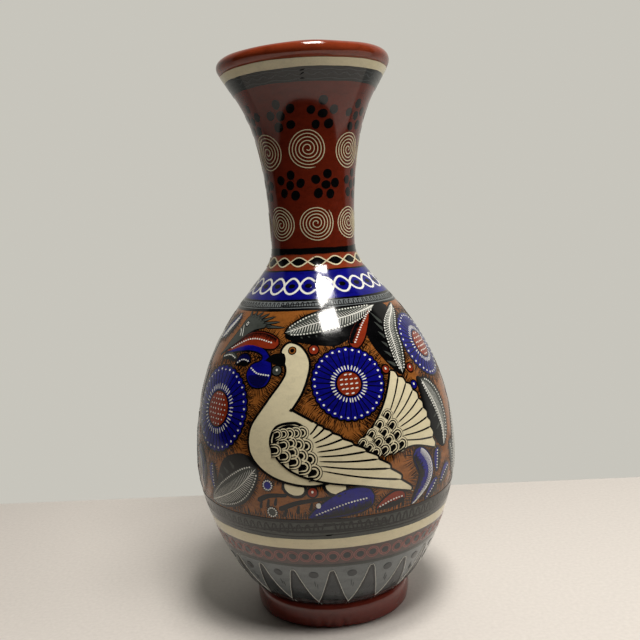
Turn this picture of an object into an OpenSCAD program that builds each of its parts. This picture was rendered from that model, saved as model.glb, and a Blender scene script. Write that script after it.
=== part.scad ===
// Hand-built earthenware vase: a round-bellied body with a long trumpet neck.
// It is made of clay sections that were shaped apart, luted together with slip and fired as one pot.
// All sizes are in millimetres. The origin is under the middle of the foot, and +Z is up.

/* [Body] */
// Height of the whole vase
vase_h = 398; // [380:1:420]
// Radius of the belly at its widest
belly_r = 95; // [90:0.5:100]
// Height of the widest part of the belly, where its two halves meet
belly_z = 110; // [100:1:116]
// Thickness of the clay wall
wall = 6; // [5:0.5:8]

/* [Foot] */
// Radius of the foot ring where it bulges
foot_r = 57; // [54:0.5:60]
// Height of the foot ring
foot_h = 18; // [15:0.5:22]
// Width of the foot ring
foot_w = 11; // [8:0.5:14]
// Radius of the hole in the bottom of the bowl, which the floor disc plugs
plug_r = 36; // [30:1:40]

/* [Neck] */
// Radius of the neck at its narrowest
neck_r = 30.5; // [28:0.5:34]
// Height of the narrowest part of the neck, where it is luted to the shoulder
neck_z = 264; // [258:1:270]
// Radius of the mouth just under the lip
mouth_r = 59; // [54:0.5:62]
// Thickness of the rolled lip
lip_t = 10; // [8:0.5:12]

/* [Luting] */
// Height of the step where two sections lap
lap_h = 6; // [4:0.5:8]
// Thickness of the coil of soft clay smeared over a seam on the inside
coil_t = 4; // [3:0.5:5]

/* [Hidden] */

// Each curve is drawn as this many straight runs, and a seam coil covers a few of them.
steps = 24;
coil_steps = 4;
coil_steps_above = 2;
$fn = 96;

// Heights worked out from the foot and the lip.
bowl_z = foot_h;
lip_z = vase_h - lip_t - 1;
bowl_r = foot_r - 2;
floor_r = foot_r - foot_w;
floor_t = wall + 2;

// Points of the outer wall, as the four handles of each Bezier curve, from the foot up.
bowl_curve = [[bowl_r, bowl_z], [bowl_r + 25, bowl_z + 20],
              [belly_r, belly_z - 18], [belly_r, belly_z]];
dome_curve = [[belly_r, belly_z], [belly_r, belly_z + 105],
              [neck_r, neck_z - 26], [neck_r, neck_z]];
neck_curve = [[neck_r, neck_z], [neck_r, neck_z + 85],
              [mouth_r - 13, lip_z - 22], [mouth_r, lip_z]];

// A point on a Bezier curve, and the direction of the curve there, for t from 0 to 1.
function on_curve(c, t) = pow(1 - t, 3) * c[0] + 3 * t * pow(1 - t, 2) * c[1]
    + 3 * t * t * (1 - t) * c[2] + pow(t, 3) * c[3];
function along(c, t) = 3 * pow(1 - t, 2) * (c[1] - c[0]) + 6 * t * (1 - t) * (c[2] - c[1])
    + 3 * t * t * (c[3] - c[2]);
function unit(v) = v / norm(v);
// The point at a depth under the curve, square to it, on the side of the axis.
function under(c, t, depth) = on_curve(c, t) + depth * unit([-along(c, t)[1], along(c, t)[0]]);
// The points at a depth under the curve, from one step of it to another, upwards or downwards.
function run(c, depth, from, to) =
    [for (i = [from : (from < to ? 1 : -1) : to]) under(c, i / steps, depth)];
// A point on a circle in the plane of the section.
function on_circle(centre, r, a) = centre + r * [cos(a), sin(a)];

module turned(section) {
    rotate_extrude(angle = 360)
        polygon(section);
}

// The ring that the vase stands on: a bulged outer face with a rounded lower edge.
module foot_ring() {
    edge = 3.5;
    color("sienna") turned(concat(
        [[floor_r, 0], [foot_r - edge - 1, 0]],
        [for (a = [-75 : 15 : 0]) on_circle([foot_r - edge - 0.5, edge], edge, a)],
        [[foot_r, foot_h / 2], [foot_r - 0.4, foot_h - 2], [foot_r - 1.5, foot_h],
         [floor_r, foot_h]]));
}

// The pad of clay that closes the bottom. It fills the ring and plugs the hole in the bowl.
module floor_disc() {
    color("sienna") turned([
        [0, foot_h - floor_t], [floor_r, foot_h - floor_t], [floor_r, foot_h],
        [plug_r, foot_h], [plug_r, foot_h + wall], [0, foot_h + wall]]);
}

// The lower half of the belly, from the foot to the widest part. A tongue stands up inside its rim.
module lower_bowl() {
    color("dimgray") turned(concat(
        [[plug_r, bowl_z]],
        run(bowl_curve, 0, 0, steps),
        [[belly_r - wall / 2, belly_z], [belly_r - wall / 2, belly_z + lap_h],
         [belly_r - wall, belly_z + lap_h]],
        run(bowl_curve, wall, steps, 3),
        [[plug_r, bowl_z + wall]]));
}

// Coil smeared over the belly seam on the inside.
module belly_seam_coil() {
    back = belly_r - wall;
    color("peru") turned(concat(
        run(bowl_curve, wall, steps - coil_steps, steps),
        [[back, belly_z + lap_h]],
        [under(dome_curve, coil_steps_above / steps, wall)],
        [[back - coil_t, belly_z + lap_h], [back - coil_t, belly_z - lap_h / 2]]));
}

// The upper half of the belly. Its foot laps over the tongue of the bowl, and its own tongue
// stands up inside the neck.
module shoulder_dome() {
    color("midnightblue") turned(concat(
        [[belly_r - wall / 2, belly_z]],
        run(dome_curve, 0, 0, steps),
        [[neck_r - wall / 2, neck_z], [neck_r - wall / 2, neck_z + lap_h],
         [neck_r - wall, neck_z + lap_h]],
        run(dome_curve, wall, steps, coil_steps_above),
        [[belly_r - wall, belly_z + lap_h], [belly_r - wall / 2, belly_z + lap_h]]));
}

// Coil smeared over the neck seam on the inside.
module neck_seam_coil() {
    back = neck_r - wall;
    color("peru") turned(concat(
        run(dome_curve, wall, steps - coil_steps, steps),
        [[back, neck_z + lap_h]],
        [under(neck_curve, coil_steps_above / steps, wall)],
        [[back - coil_t, neck_z + lap_h], [back - coil_t, neck_z - lap_h / 2]]));
}

// The trumpet neck, from its narrowest part to the mouth.
module neck_tube() {
    color("saddlebrown") turned(concat(
        [[neck_r - wall / 2, neck_z]],
        run(neck_curve, 0, 0, steps),
        run(neck_curve, wall, steps, coil_steps_above),
        [[neck_r - wall, neck_z + lap_h], [neck_r - wall / 2, neck_z + lap_h]]));
}

// The rolled lip, a coil luted on the edge of the mouth.
module lip_coil() {
    roll = lip_t / 2;
    centre = [mouth_r + 2.4 - roll, vase_h - roll];
    color("sienna") turned(concat(
        [on_curve(neck_curve, 1)],
        [for (a = [-20 : 10 : 200]) on_circle(centre, roll, a)],
        [under(neck_curve, 1, wall)]));
}

foot_ring();
floor_disc();
lower_bowl();
belly_seam_coil();
shoulder_dome();
neck_seam_coil();
neck_tube();
lip_coil();
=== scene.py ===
"""Hand-built earthenware vase, slip painted and clear glazed.

The body is three smooth clay walls with a rolled lip and a foot ring. The painting on it is real relief: each
colour of slip is a thin raised layer that follows the wall. Angles are in degrees round the vase, 0 at the
front (-Y) and growing to the right, and heights are in millimetres from the painter's baseline.
"""

import math
import random

import bpy
import numpy as np
from mathutils import Matrix, Vector
from mathutils.geometry import delaunay_2d_cdt


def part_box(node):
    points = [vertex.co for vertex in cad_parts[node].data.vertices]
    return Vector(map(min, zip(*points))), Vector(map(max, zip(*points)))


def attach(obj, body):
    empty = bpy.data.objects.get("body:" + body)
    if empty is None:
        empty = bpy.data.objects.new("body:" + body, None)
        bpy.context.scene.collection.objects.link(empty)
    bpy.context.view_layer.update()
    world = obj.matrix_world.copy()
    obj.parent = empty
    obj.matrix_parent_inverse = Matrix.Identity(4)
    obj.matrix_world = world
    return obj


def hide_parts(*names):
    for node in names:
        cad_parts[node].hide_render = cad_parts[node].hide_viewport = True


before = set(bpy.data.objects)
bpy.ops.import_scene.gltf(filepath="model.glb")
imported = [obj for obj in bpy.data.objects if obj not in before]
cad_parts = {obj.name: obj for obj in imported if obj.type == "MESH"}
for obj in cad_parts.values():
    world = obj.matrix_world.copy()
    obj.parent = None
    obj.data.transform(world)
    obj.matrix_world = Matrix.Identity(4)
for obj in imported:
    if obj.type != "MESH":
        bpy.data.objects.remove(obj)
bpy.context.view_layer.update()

bl_info = {
    "name": "Slip-painted vase",
    "version": (1, 0, 0),
    "blender": (4, 5, 0),
    "location": "View3D > Sidebar > Vase",
    "description": "Walls, lip, foot and slip painting of a glazed earthenware vase",
    "category": "Object",
}

MM = 0.001


def box_mm(node):
    """Lowest and highest corner of a CAD node, in millimetres."""
    low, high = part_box(node)
    return low / MM, high / MM


FOOT_HIGH = box_mm("foot_ring")[1]
BOWL_HIGH = box_mm("lower_bowl")[1]
DOME_LOW = box_mm("shoulder_dome")[0]
NECK_LOW, NECK_HIGH = box_mm("neck_tube")
LIP_LOW, LIP_HIGH = box_mm("lip_coil")

FOOT_R = FOOT_HIGH.x
FOOT_H = FOOT_HIGH.z
BELLY_R = BOWL_HIGH.x
BELLY_Z = DOME_LOW.z
NECK_Z = NECK_LOW.z
MOUTH_R = NECK_HIGH.x
MOUTH_Z = LIP_LOW.z
LIP_R = LIP_HIGH.x
LIP_Z = LIP_HIGH.z

# The painter measures heights from a baseline that lies this far under the top of the foot.
FOOT_TOP = 15.5
BASELINE = FOOT_H - FOOT_TOP

# Radius of the neck at its narrowest, and how far the hand-made wall strays from a true round.
NECK_R = 30.5
UNEVEN = 0.35

# The painted scene lies between these heights, and it is painted on both faces of the vase.
SCENE_LOW, SCENE_HIGH = 91.0, 221.0
FACES = (0, 180)

# The edge of every layer of slip ends this far under the wall, so that no gap shows round it.
SUNK = -0.02


# ------------------------------------------------------------------ colours and sizes a user would change

def linear(code):
    """Linear RGB of an sRGB hex colour such as #d6ccb4."""
    parts = [int(code[i:i + 2], 16) / 255 for i in (1, 3, 5)]
    return tuple(c / 12.92 if c <= 0.04045 else ((c + 0.055) / 1.055) ** 2.4 for c in parts)


def colour_property(name, description, code):
    """A colour that a user can change, with its default as sRGB hex."""
    return bpy.props.FloatVectorProperty(
        name=name, description=description, default=linear(code),
        subtype="COLOR", size=3, min=0, max=1)


def length_property(name, description, millimetres):
    """A length that a user can change, with its default in millimetres."""
    return bpy.props.FloatProperty(
        name=name, description=description, default=millimetres * MM,
        min=0, subtype="DISTANCE", unit="LENGTH")


class VaseSizes(bpy.types.PropertyGroup):
    """Sizes of the walls and of the slip."""
    neck_radius: length_property("Neck radius", "Radius of the neck at its narrowest", NECK_R)
    wall: length_property("Wall", "Thickness of the clay wall", 6)
    uneven: length_property("Unevenness", "How far the hand-made wall strays from a true round", UNEVEN)
    relief: length_property("Slip relief", "Thickness of one layer of slip", 0.09)
    side_step: length_property("Side step", "Width of the facets round the wall", 2.0)


class VaseColours(bpy.types.PropertyGroup):
    """Colours of the clay and of the slips, as they look under the glaze."""
    clay: colour_property("Clay", "Bare fired clay inside the vase", "#9c5f45")
    terracotta: colour_property("Terracotta", "Glazed clay of the lip and the collar", "#7a3018")
    foot: colour_property("Foot", "Glazed clay of the foot ring", "#66241a")
    neck: colour_property("Neck", "Red-brown slip of the neck", "#5e1c0c")
    ochre: colour_property("Ochre", "Ground of the painted scene", "#875122")
    cream: colour_property("Cream", "Cream slip", "#d3c9a8")
    black: colour_property("Black", "Black slip", "#050506")
    blue: colour_property("Blue", "Ultramarine slip", "#0a0a70")
    navy: colour_property("Navy", "Shaded half of the blue drops", "#06063c")
    grey: colour_property("Grey", "Grey slip of the leaves", "#3c403c")
    ash: colour_property("Ash", "Dark grey slip of the bands", "#34383a")
    mist: colour_property("Mist", "Pale grey of veins and dots", "#dadad2")
    bowl: colour_property("Bowl", "Grey slip of the lower bowl", "#666b6c")
    rose: colour_property("Rose", "Pinkish grey band on the lower bowl", "#564a47")
    rust: colour_property("Rust", "Faded red of the fine rings", "#96605a")
    soot: colour_property("Soot", "Dark grey of the ray outlines", "#16181a")
    red: colour_property("Red", "Red-brown slip of flower centres and berries", "#7e2a14")


# ------------------------------------------------------------------ the outer wall

def bezier(handles, steps=400):
    """Points (radius, height) along a Bezier curve with four handles."""
    p = np.array(handles, float)
    t = np.linspace(0, 1, steps)[:, None]
    return (1 - t) ** 3 * p[0] + 3 * t * (1 - t) ** 2 * p[1] + 3 * t * t * (1 - t) * p[2] + t ** 3 * p[3]


class Outline:
    """The outer wall of the vase: its radius and slope at every height, in millimetres."""

    def __init__(self, neck_radius, uneven):
        self.shape(neck_radius, uneven)

    def shape(self, neck_radius, uneven):
        """Draws the outline for a neck of this radius and a wall this uneven."""
        self.uneven = uneven
        bowl_r = FOOT_R - 2
        bowl = [(bowl_r, FOOT_H), (bowl_r + 25, FOOT_H + 20),
                (BELLY_R, BELLY_Z - 18), (BELLY_R, BELLY_Z)]
        dome = [(BELLY_R, BELLY_Z), (BELLY_R, BELLY_Z + 105),
                (neck_radius, NECK_Z - 26), (neck_radius, NECK_Z)]
        neck = [(neck_radius, NECK_Z), (neck_radius, NECK_Z + 85),
                (MOUTH_R - 13, MOUTH_Z - 22), (MOUTH_R, MOUTH_Z)]
        points = np.concatenate([bezier(curve) for curve in (bowl, dome, neck)])
        # The wall goes on a little past both ends, so that its slope is right there.
        reach = 4.0
        first = points[0] - (points[1] - points[0]) / np.linalg.norm(points[1] - points[0]) * reach
        last = points[-1] + (points[-1] - points[-2]) / np.linalg.norm(points[-1] - points[-2]) * reach
        points = np.concatenate([[first], points, [last]])
        rising = np.concatenate([[True], np.diff(points[:, 1]) > 1e-6])
        self.radii, self.heights = points[rising].T
        self.slopes = np.gradient(self.radii, self.heights)

    def radius(self, z):
        return np.interp(z, self.heights, self.radii)

    def slope(self, z):
        return np.interp(z, self.heights, self.slopes)


OUTLINE = Outline(NECK_R, UNEVEN)


def stray(angle, z):
    """How far the hand-made wall strays outwards, in millimetres, at angles in radians."""
    wide = 0.8 * np.sin(2 * angle + 0.8) + 0.6 * np.sin(3 * angle + z / 37)
    fine = 0.35 * np.sin(5 * angle - z / 23 + 1) + 0.25 * np.sin(8 * angle + z / 15)
    return OUTLINE.uneven * (wide + fine)


def on_wall(angle, height, lift=0.0):
    """Points in metres on the wall, lifted square to it. Angles are in degrees, heights and lifts in
    millimetres."""
    a = np.radians(angle)
    z = np.asarray(height, float) + BASELINE
    slope = OUTLINE.slope(z)
    lean = np.hypot(1, slope)
    r = OUTLINE.radius(z) + stray(a, z) + lift / lean
    return np.stack([r * np.sin(a), -r * np.cos(a), z - lift * slope / lean + 0 * a], -1) * MM


def wall_normal(angle, height):
    """Directions square to the wall, for smooth shading over every seam."""
    small = 0.3
    across = on_wall(angle + small, height) - on_wall(angle - small, height)
    up = on_wall(angle, height + small) - on_wall(angle, height - small)
    normal = np.cross(across, up)
    return normal / np.linalg.norm(normal, axis=-1, keepdims=True)


def mm_per_degree(height):
    return math.radians(1) * OUTLINE.radius(np.asarray(height, float) + BASELINE)


def mm_per_height(height):
    """Millimetres along the wall for each millimetre of height."""
    return np.hypot(1, OUTLINE.slope(np.asarray(height, float) + BASELINE))


# ------------------------------------------------------------------ meshes

def grid_faces(rows, columns, wrap=False):
    """Quads of a grid of points, joined end to end along its rows if wrap is true."""
    i = np.arange(rows if wrap else rows - 1)[:, None]
    j = np.arange(columns - 1)[None, :]
    near = i * columns + j
    far = (i + 1) % rows * columns + j
    return np.stack([near, near + 1, far + 1, far], -1).reshape(-1, 4)


class Mesh:
    """Points, faces and shading normals that are gathered and then made into one object."""

    def __init__(self):
        self.points, self.normals, self.faces, self.count = [], [], [], 0

    def add(self, points, faces, normals=None):
        points = np.asarray(points, float).reshape(-1, 3)
        normals = np.zeros_like(points) if normals is None else np.asarray(normals, float).reshape(-1, 3)
        self.points.append(points)
        self.normals.append(normals)
        for face in faces.tolist() if isinstance(faces, np.ndarray) else faces:
            self.faces.append([corner + self.count for corner in face])
        self.count += len(points)

    def make(self, name, material, slot):
        mesh = bpy.data.meshes.new(name)
        mesh.from_pydata(np.concatenate(self.points).tolist(), [], self.faces)
        mesh.polygons.foreach_set("use_smooth", [True] * len(mesh.polygons))
        mesh.materials.append(material)
        mesh.update()
        normals = np.concatenate(self.normals)
        if normals.any():
            mesh.normals_split_custom_set_from_vertices(normals.tolist())
        piece = bpy.data.objects.new(name, mesh)
        bpy.context.scene.collection.objects.link(piece)
        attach(piece, "root")
        return piece


# ------------------------------------------------------------------ curves in the painter's plane

def resample(path, step, closed=False):
    """The same path with points about every step millimetres along the wall."""
    path = np.asarray(path, float)
    if closed:
        path = np.concatenate([path, path[:1]])
    middle = (path[1:, 1] + path[:-1, 1]) / 2
    across = np.diff(path[:, 0]) * mm_per_degree(middle)
    up = np.diff(path[:, 1]) * mm_per_height(middle)
    run = np.concatenate([[0], np.cumsum(np.hypot(across, up))])
    count = max(3, int(round(run[-1] / step)) + 1)
    at = np.linspace(0, run[-1], count)
    found = np.stack([np.interp(at, run, path[:, 0]), np.interp(at, run, path[:, 1])], 1)
    return found[:-1] if closed else found


def smooth(points, closed=False, step=1.0):
    """A smooth curve through the points. A point given twice makes a sharp corner."""
    p = np.asarray(points, float)
    if closed:
        p = np.concatenate([p[-1:], p, p[:2]])
    else:
        p = np.concatenate([2 * p[:1] - p[1:2], p, 2 * p[-1:] - p[-2:-1]])
    t = np.linspace(0, 1, 10, endpoint=False)[:, None]
    runs = []
    for a, b, c, d in zip(p[:-3], p[1:-2], p[2:-1], p[3:]):
        runs.append(0.5 * (2 * b + (c - a) * t + (2 * a - 5 * b + 4 * c - d) * t ** 2
                           + (3 * b - a - 3 * c + d) * t ** 3))
    curve = np.concatenate(runs)
    if not closed:
        curve = np.concatenate([curve, p[-2:-1]])
    return resample(curve, step, closed)


def left_of(path, closed=False):
    """Unit steps to the left of a path, in degrees and heights for one millimetre."""
    if closed:
        ahead = np.roll(path, -1, 0) - np.roll(path, 1, 0)
    else:
        ahead = np.gradient(path, axis=0)
    k, m = mm_per_degree(path[:, 1]), mm_per_height(path[:, 1])
    across, up = ahead[:, 0] * k, ahead[:, 1] * m
    size = np.maximum(np.hypot(across, up), 1e-9)
    return np.stack([-up / size / k, across / size / m], 1)


def area_of(path, scale):
    x, y = path[:, 0] * scale, path[:, 1]
    return 0.5 * np.sum(x * np.roll(y, -1) - y * np.roll(x, -1))


def inside(points, outline):
    """Which points lie inside a closed outline."""
    x, y = points[:, 0][:, None], points[:, 1][:, None]
    x0, y0 = outline[:, 0][None], outline[:, 1][None]
    x1, y1 = np.roll(outline[:, 0], -1)[None], np.roll(outline[:, 1], -1)[None]
    crosses = (y0 > y) != (y1 > y)
    at = x0 + (y - y0) / np.where(y1 == y0, 1e-12, y1 - y0) * (x1 - x0)
    return (crosses & (x < at)).sum(1) % 2 == 1


# ------------------------------------------------------------------ slip painting

# Layers of slip, in layer thicknesses above the wall: ground, hatching, outlines, fills, lines, dots, and the
# wing that covers them.
GROUND, HATCH, EDGE, FILL, LINE, DOT, OVER = 1.0, 1.8, 2.6, 3.4, 4.2, 4.8, 6.2


def taper(width, loss):
    """The width of a stroke that loses this share of it by its end."""
    return lambda t: width * (1 - loss * t)


def press(width):
    """The width of a stroke that is pressed harder as it goes."""
    return lambda t: width * (0.75 + 0.5 * t)


class Painter:
    """Lays slip on the wall, keeping each colour in a mesh of its own."""

    def __init__(self, name, seed=1):
        self.name = name
        self.coats = {}
        self.turn = 0.0
        self.hand = random.Random(seed)
        self.layer = bpy.context.scene.vase_sizes.relief / MM

    def coat(self, colour):
        return self.coats.setdefault(colour, Mesh())

    def place(self, path):
        """The path turned round the vase to the face that the painter works on."""
        return np.asarray(path, float).reshape(-1, 2) + (self.turn, 0)

    def vary(self, low, high):
        """A chance number, as no two strokes of a brush are alike."""
        return self.hand.uniform(low, high)

    def fill(self, colour, outline, level=FILL, grain=3.0):
        """Covers the inside of a closed outline."""
        path = self.place(outline)
        scale = float(mm_per_degree(path[:, 1].mean()))
        if area_of(path, scale) < 0:
            path = path[::-1]
        flat = path * (scale, 1)
        low, high = flat.min(0), flat.max(0)
        x, y = np.meshgrid(np.arange(low[0], high[0], grain), np.arange(low[1], high[1], grain))
        x = x + (np.arange(len(x)) % 2)[:, None] * grain / 2
        free = np.stack([x.ravel(), y.ravel()], 1)
        if len(free):
            free = free[inside(free, flat)]
        if len(free):
            near = np.linalg.norm(free[:, None] - flat[None], axis=2).min(1)
            free = free[near > 0.45 * grain]
        corners = [Vector(p) for p in (np.concatenate([flat, free]) if len(free) else flat)]
        found = delaunay_2d_cdt(corners, [], [list(range(len(flat)))], 1, 1e-5)
        spots = np.array([(v.x / scale, v.y) for v in found[0]])
        lift = level * self.layer
        coat = self.coat(colour)
        coat.add(on_wall(spots[:, 0], spots[:, 1], lift), found[2], wall_normal(spots[:, 0], spots[:, 1]))
        rim = np.stack([on_wall(path[:, 0], path[:, 1], lift), on_wall(path[:, 0], path[:, 1], SUNK)], 1)
        coat.add(rim, grid_faces(len(path), 2, wrap=True))

    def stroke(self, colour, path, width, level=LINE, closed=False, crown=0.6, blunt=False):
        """A brush stroke along a path. width is in millimetres, or a function of the way along it."""
        path = self.place(path)
        if len(path) < 4:
            at = np.linspace(0, len(path) - 1, 6)
            path = np.stack([np.interp(at, np.arange(len(path)), path[:, i]) for i in (0, 1)], 1)
        count = len(path)
        along = np.linspace(0, 1, count)
        half = (width(along) if callable(width) else np.full(count, float(width))) / 2
        if not closed and not blunt:
            k, m = mm_per_degree(path[:, 1]), mm_per_height(path[:, 1])
            step = np.gradient(path, axis=0)
            run = np.cumsum(np.hypot(step[:, 0] * k, step[:, 1] * m))
            run -= run[0]
            end = np.minimum(run, run[-1] - run)
            tip = np.clip(end / np.maximum(half, 0.05), 0, 1)
            half = half * np.sqrt(np.clip(1 - (1 - tip) ** 2, 0.02, 1))
        side = left_of(path, closed)
        base, top = SUNK, level * self.layer
        rise = crown * self.layer
        if float(half.max()) > 0.45:
            across, lifts = (1, 0.93, 0.5, -0.5, -0.93, -1), (base, top, top + rise, top + rise, top, base)
        else:
            across, lifts = (1, 0.88, -0.88, -1), (base, top, top, base)
        rows = []
        for share, lift in zip(across, lifts):
            spot = path + side * (half * share)[:, None]
            rows.append(on_wall(spot[:, 0], spot[:, 1], lift))
        square = wall_normal(path[:, 0], path[:, 1])[:, None].repeat(len(across), 1)
        self.coat(colour).add(np.stack(rows, 1), grid_faces(count, len(across), wrap=closed), square)

    def dot(self, colour, centre, across, up=None, level=DOT, tilt=0.0, sides=14, crown=1.2):
        """A round or oval dab of slip, with its radii in millimetres."""
        (a, h), = self.place([centre])
        up = across if up is None else up
        turn = np.linspace(0, 2 * math.pi, sides, endpoint=False)
        x, y = across * np.cos(turn), up * np.sin(turn)
        tilt = math.radians(tilt)
        x, y = x * math.cos(tilt) - y * math.sin(tilt), x * math.sin(tilt) + y * math.cos(tilt)
        k, m = float(mm_per_degree(h)), float(mm_per_height(h))
        top = level * self.layer
        rise = crown * self.layer
        rings = [on_wall(np.array([a]), np.array([h]), top + rise)]
        normals = [wall_normal(np.array([a]), np.array([h]))]
        for share, lift in ((0.7, top + 0.75 * rise), (0.95, top), (1.0, SUNK)):
            rings.append(on_wall(a + share * x / k, h + share * y / m, lift))
            normals.append(wall_normal(a + share * x / k, h + share * y / m))
        faces = [(0, 1 + i, 1 + (i + 1) % sides) for i in range(sides)]
        for ring in (1, 1 + sides):
            for i in range(sides):
                j = (i + 1) % sides
                faces.append((ring + i, ring + sides + i, ring + sides + j, ring + j))
        self.coat(colour).add(np.concatenate(rings), faces, np.concatenate(normals))

    def disc(self, colour, centre, across, up=None, level=FILL):
        """A flat round or oval of slip, with its radii in millimetres."""
        self.fill(colour, self.round_path(centre, across, up), level)

    def round_path(self, centre, across, up=None, ripple=0.0, lobes=0, tilt=0.0):
        """A closed path round a centre, with petal lobes round its edge if lobes is given. ripple is their
        depth as a share of the radius."""
        a, h = centre
        up = across if up is None else up
        count = max(24, lobes * 8, int(across * 5))
        turn = np.linspace(0, 2 * math.pi, count, endpoint=False)
        size = 1 - ripple * (1 - np.abs(np.sin(lobes * turn / 2))) if lobes else 1.0
        x, y = across * size * np.cos(turn), up * size * np.sin(turn)
        tilt = math.radians(tilt)
        x, y = x * math.cos(tilt) - y * math.sin(tilt), x * math.sin(tilt) + y * math.cos(tilt)
        m = float(mm_per_height(h))
        heights = h + y / m
        return np.stack([a + x / mm_per_degree(heights), heights], 1)

    def band(self, colour, low, high, level=GROUND, waver=0.3, seed=0.0):
        """A band of slip all the way round, with edges that waver as a brush on a turning pot leaves them."""
        angles = np.arange(0, 360, 1.25)
        turn = np.radians(angles)

        def edge(middle, phase):
            wave = (np.sin(2 * turn + phase) + 0.6 * np.sin(5 * turn + 2.1 * phase)
                    + 0.35 * np.sin(11 * turn + 3.7 * phase) + 0.2 * np.sin(23 * turn + 5.3 * phase))
            return middle + waver * wave / 1.6

        bottom, top = edge(low, seed), edge(high, seed + 1.3)
        lift = level * self.layer
        rows = max(1, int(math.ceil((high - low) / 2.0)))
        columns = [on_wall(angles, top, SUNK)]
        normals = [np.zeros((len(angles), 3))]
        for row in range(rows + 1):
            height = top + (bottom - top) * row / rows
            columns.append(on_wall(angles, height, lift))
            normals.append(wall_normal(angles, height))
        columns.append(on_wall(angles, bottom, SUNK))
        normals.append(np.zeros((len(angles), 3)))
        self.coat(colour).add(np.stack(columns, 1), grid_faces(len(angles), rows + 3, wrap=True),
                              np.stack(normals, 1))

    def hatch(self, outline, reach, gap=1.0, width=0.6):
        """Fine tapered strokes that stand out from a closed outline like fur."""
        path = resample(outline, gap, closed=True)
        scale = float(mm_per_degree(path[:, 1].mean()))
        out = -left_of(path, closed=True) if area_of(path, scale) > 0 else left_of(path, closed=True)
        for spot, way in zip(path, out):
            size = reach * self.vary(0.6, 1.2)
            swing = self.vary(-0.2, 0.2)
            k, m = float(mm_per_degree(spot[1])), float(mm_per_height(spot[1]))
            x, y = way[0] * k, way[1] * m
            x, y = x - swing * y, y + swing * x
            end = (spot[0] + size * x / k, spot[1] + size * y / m)
            if not SCENE_LOW < end[1] < SCENE_HIGH or not SCENE_LOW < spot[1] < SCENE_HIGH:
                continue
            self.stroke("black", np.linspace(spot, end, 4), taper(width, 0.6), HATCH, crown=0.3)

    def sketch(self, colour, width, level, lines):
        """Plain tapered lines, each given by its points."""
        for line in lines:
            self.stroke(colour, smooth(line), press(width), level)

    def make(self):
        """Makes one piece for each colour."""
        for colour, coat in self.coats.items():
            coat.make(f"{self.name}_{colour}", slip_material(colour), SLOTS[colour])


# The material slot of each painted colour.
SLOTS = {
    "cream": "cream_slip", "mist": "cream_slip",
    "black": "black_slip", "soot": "black_slip",
    "blue": "blue_slip", "navy": "blue_slip",
    "grey": "grey_slip", "ash": "grey_slip",
    "red": "red_slip", "rose": "red_slip", "rust": "red_slip",
    "ochre": "shoulder_glaze",
    "bowl": "bowl_glaze",
}


# ------------------------------------------------------------------ materials

def add_node(tree, kind, inputs=None, **settings):
    """Adds a node with its settings. An input is a value, or a socket to link from."""
    node = tree.nodes.new(kind)
    for name, value in settings.items():
        setattr(node, name, value)
    for name, value in (inputs or {}).items():
        if isinstance(value, bpy.types.NodeSocket):
            tree.links.new(value, node.inputs[name])
        else:
            node.inputs[name].default_value = value
    return node


def toned(colour, share):
    """A colour made darker (share under 1) or lighter, as RGBA."""
    return tuple(min(1.0, c * share) for c in colour) + (1.0,)


def per_metre(millimetres):
    """The texture scale that gives features of this size."""
    return 1000 / millimetres


def glazed_slip(name, colour, mottle=0.16, brush_mm=9, gloss=0.09):
    """Coloured clay slip laid on with a brush, fired under a clear lead-free glaze.
    The brush leaves long soft streaks round the pot and thin places at their edges. The glaze is glossy, with
    a faint orange-peel skin, so reflections are sharp with slightly broken edges."""
    material = bpy.data.materials.new(name)
    material.use_nodes = True
    tree = material.node_tree
    surface = tree.nodes["Principled BSDF"]
    coordinates = add_node(tree, "ShaderNodeTexCoord")
    streaked = add_node(tree, "ShaderNodeMapping", {"Vector": coordinates.outputs["Object"],
                                                    "Scale": (1.0, 1.0, 2.6)})
    brush = add_node(tree, "ShaderNodeTexNoise", {"Vector": streaked.outputs["Vector"],
                                                  "Scale": per_metre(brush_mm), "Detail": 4.0,
                                                  "Roughness": 0.6, "Distortion": 0.5})
    grain = add_node(tree, "ShaderNodeTexNoise", {"Vector": coordinates.outputs["Object"],
                                                  "Scale": per_metre(1.1), "Detail": 2.0})
    blend = add_node(tree, "ShaderNodeMix", {"Factor": 0.35, "A": brush.outputs["Fac"],
                                             "B": grain.outputs["Fac"]}, data_type="FLOAT")
    ramp = add_node(tree, "ShaderNodeValToRGB", {"Fac": blend.outputs["Result"]})
    ramp.color_ramp.elements[0].position = 0.33
    ramp.color_ramp.elements[0].color = toned(colour, 1 - 1.6 * mottle)
    ramp.color_ramp.elements[1].position = 0.68
    ramp.color_ramp.elements[1].color = toned(colour, 1 + mottle)
    middle = ramp.color_ramp.elements.new(0.5)
    middle.color = toned(colour, 1.0)
    tree.links.new(ramp.outputs["Color"], surface.inputs["Base Color"])
    sheen = add_node(tree, "ShaderNodeMapRange", {"Value": brush.outputs["Fac"],
                                                  "From Min": 0.3, "From Max": 0.7,
                                                  "To Min": gloss * 0.7, "To Max": gloss * 1.5})
    tree.links.new(sheen.outputs["Result"], surface.inputs["Roughness"])
    skin = add_node(tree, "ShaderNodeTexNoise", {"Vector": coordinates.outputs["Object"],
                                                 "Scale": per_metre(5), "Detail": 3.0})
    bump = add_node(tree, "ShaderNodeBump", {"Height": skin.outputs["Fac"], "Strength": 0.12,
                                             "Distance": 0.12 * MM})
    tree.links.new(bump.outputs["Normal"], surface.inputs["Normal"])
    surface.inputs["IOR"].default_value = 1.52
    return material


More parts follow.
